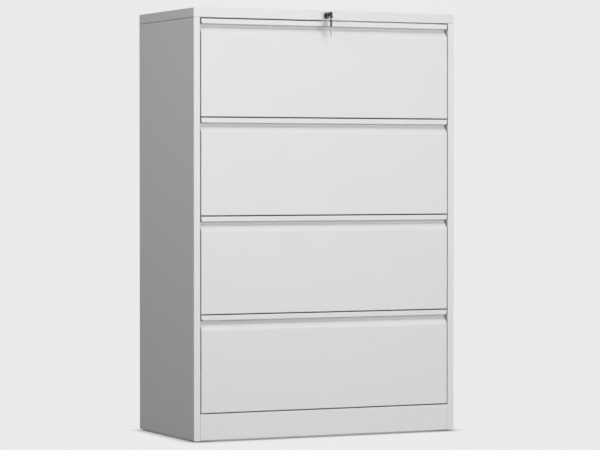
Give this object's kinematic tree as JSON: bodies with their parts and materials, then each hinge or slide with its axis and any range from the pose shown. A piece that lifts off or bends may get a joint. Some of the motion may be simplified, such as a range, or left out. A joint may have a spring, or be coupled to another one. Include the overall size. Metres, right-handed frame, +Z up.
{
  "type": "lateral filing cabinet",
  "caption": "Lateral filing cabinet in folded sheet steel: full-width drawers with recessed finger pulls on telescopic runners, locked together by a key in the header.",
  "frame": {"origin": "middle of the floor under the object's outer box, key included", "axes": "+Z up, -Y out of the drawer fronts, +X to the right seen from the front"},
  "size_m": [0.9, 0.488, 1.33],
  "materials": {
    "powder_coat": "satin powder coat",
    "zinc_plate": "bright zinc plate",
    "black_lacquer": "black lacquer",
    "black_plastic": "moulded",
    "nickel": "nickel plate",
    "foot_plastic": "moulded"
  },
  "bodies": {
    "cabinet": {"top_panel": "powder_coat", "side_panel_left": "powder_coat", "side_panel_right": "powder_coat", "back_panel": "powder_coat", "floor_panel": "powder_coat", "plinth_rail": "powder_coat", "header_rail": "powder_coat", "upright_front_left": "powder_coat", "upright_front_right": "powder_coat", "upright_rear_left": "powder_coat", "upright_rear_right": "powder_coat", "levelling_nuts": "zinc_plate", "runner_screws": "zinc_plate", "levelling_feet": "foot_plastic", "lock_barrel": "black_lacquer", "lock_nut": "zinc_plate", "runner_outer_1": "zinc_plate", "runner_outer_2": "zinc_plate", "runner_outer_3": "zinc_plate", "runner_outer_4": "zinc_plate"},
    "lock_plug": {"lock_plug": "nickel", "lock_cam": "zinc_plate"},
    "key": {"key_bow": "black_plastic", "key_blade": "nickel"},
    "key_ring": {"key_ring": "nickel"},
    "transfer_bar": {"transfer_bar": "zinc_plate"},
    "lock_bar": {"lock_bar": "zinc_plate"},
    "runner_middle_1": {"runner_middle_1": "zinc_plate"},
    "drawer_1": {"drawer_1_front": "powder_coat", "drawer_1_liner": "powder_coat", "drawer_1_tray": "powder_coat", "drawer_1_back": "powder_coat", "drawer_1_file_rails": "powder_coat", "drawer_1_catch": "zinc_plate", "drawer_1_runner_inner": "zinc_plate"},
    "runner_middle_2": {"runner_middle_2": "zinc_plate"},
    "drawer_2": {"drawer_2_front": "powder_coat", "drawer_2_liner": "powder_coat", "drawer_2_tray": "powder_coat", "drawer_2_back": "powder_coat", "drawer_2_file_rails": "powder_coat", "drawer_2_catch": "zinc_plate", "drawer_2_runner_inner": "zinc_plate"},
    "runner_middle_3": {"runner_middle_3": "zinc_plate"},
    "drawer_3": {"drawer_3_front": "powder_coat", "drawer_3_liner": "powder_coat", "drawer_3_tray": "powder_coat", "drawer_3_back": "powder_coat", "drawer_3_file_rails": "powder_coat", "drawer_3_catch": "zinc_plate", "drawer_3_runner_inner": "zinc_plate"},
    "runner_middle_4": {"runner_middle_4": "zinc_plate"},
    "drawer_4": {"drawer_4_front": "powder_coat", "drawer_4_liner": "powder_coat", "drawer_4_tray": "powder_coat", "drawer_4_back": "powder_coat", "drawer_4_file_rails": "powder_coat", "drawer_4_catch": "zinc_plate", "drawer_4_runner_inner": "zinc_plate"}
  },
  "joints": [
    {"name": "drawer_1_slide", "type": "slide", "parent": "cabinet", "child": "drawer_1", "axis": [0, -1, 0], "range_m": [0, 0.38]},
    {"name": "runner_middle_1_slide", "type": "slide", "parent": "cabinet", "child": "runner_middle_1", "axis": [0, -1, 0], "range_m": [0, 0.19]},
    {"name": "drawer_2_slide", "type": "slide", "parent": "cabinet", "child": "drawer_2", "axis": [0, -1, 0], "range_m": [0, 0.38]},
    {"name": "runner_middle_2_slide", "type": "slide", "parent": "cabinet", "child": "runner_middle_2", "axis": [0, -1, 0], "range_m": [0, 0.19]},
    {"name": "drawer_3_slide", "type": "slide", "parent": "cabinet", "child": "drawer_3", "axis": [0, -1, 0], "range_m": [0, 0.38]},
    {"name": "runner_middle_3_slide", "type": "slide", "parent": "cabinet", "child": "runner_middle_3", "axis": [0, -1, 0], "range_m": [0, 0.19]},
    {"name": "drawer_4_slide", "type": "slide", "parent": "cabinet", "child": "drawer_4", "axis": [0, -1, 0], "range_m": [0, 0.38]},
    {"name": "runner_middle_4_slide", "type": "slide", "parent": "cabinet", "child": "runner_middle_4", "axis": [0, -1, 0], "range_m": [0, 0.19]},
    {"name": "key_turn", "type": "hinge", "parent": "cabinet", "child": "lock_plug", "pos_m": [0, -0.206, 1.315], "axis": [0, 1, 0], "range_deg": [0, 90]},
    {"name": "key_pull", "type": "slide", "parent": "lock_plug", "child": "key", "axis": [0, -1, 0], "range_m": [0, 0.05]},
    {"name": "ring_hang", "type": "hinge", "parent": "key", "child": "key_ring", "pos_m": [0, -0.237, 1.308], "axis": [0, 1, 0], "range_deg": [-90, 0]},
    {"name": "transfer_bar_slide", "type": "slide", "parent": "cabinet", "child": "transfer_bar", "axis": [-1, 0, 0], "range_m": [0, 0.01414]},
    {"name": "lock_bar_lift", "type": "slide", "parent": "cabinet", "child": "lock_bar", "axis": [0, 0, 1], "range_m": [0, 0.01414]}
  ],
  "couplings": [
    {"joint": "runner_middle_1_slide", "follows": "drawer_1_slide", "ratio": 0.5},
    {"joint": "runner_middle_2_slide", "follows": "drawer_2_slide", "ratio": 0.5},
    {"joint": "runner_middle_3_slide", "follows": "drawer_3_slide", "ratio": 0.5},
    {"joint": "runner_middle_4_slide", "follows": "drawer_4_slide", "ratio": 0.5},
    {"joint": "key_turn", "follows": "lock_bar_lift", "rad_per_m": 111.07},
    {"joint": "ring_hang", "follows": "lock_bar_lift", "rad_per_m": -111.07},
    {"joint": "transfer_bar_slide", "follows": "lock_bar_lift", "ratio": 1}
  ]
}
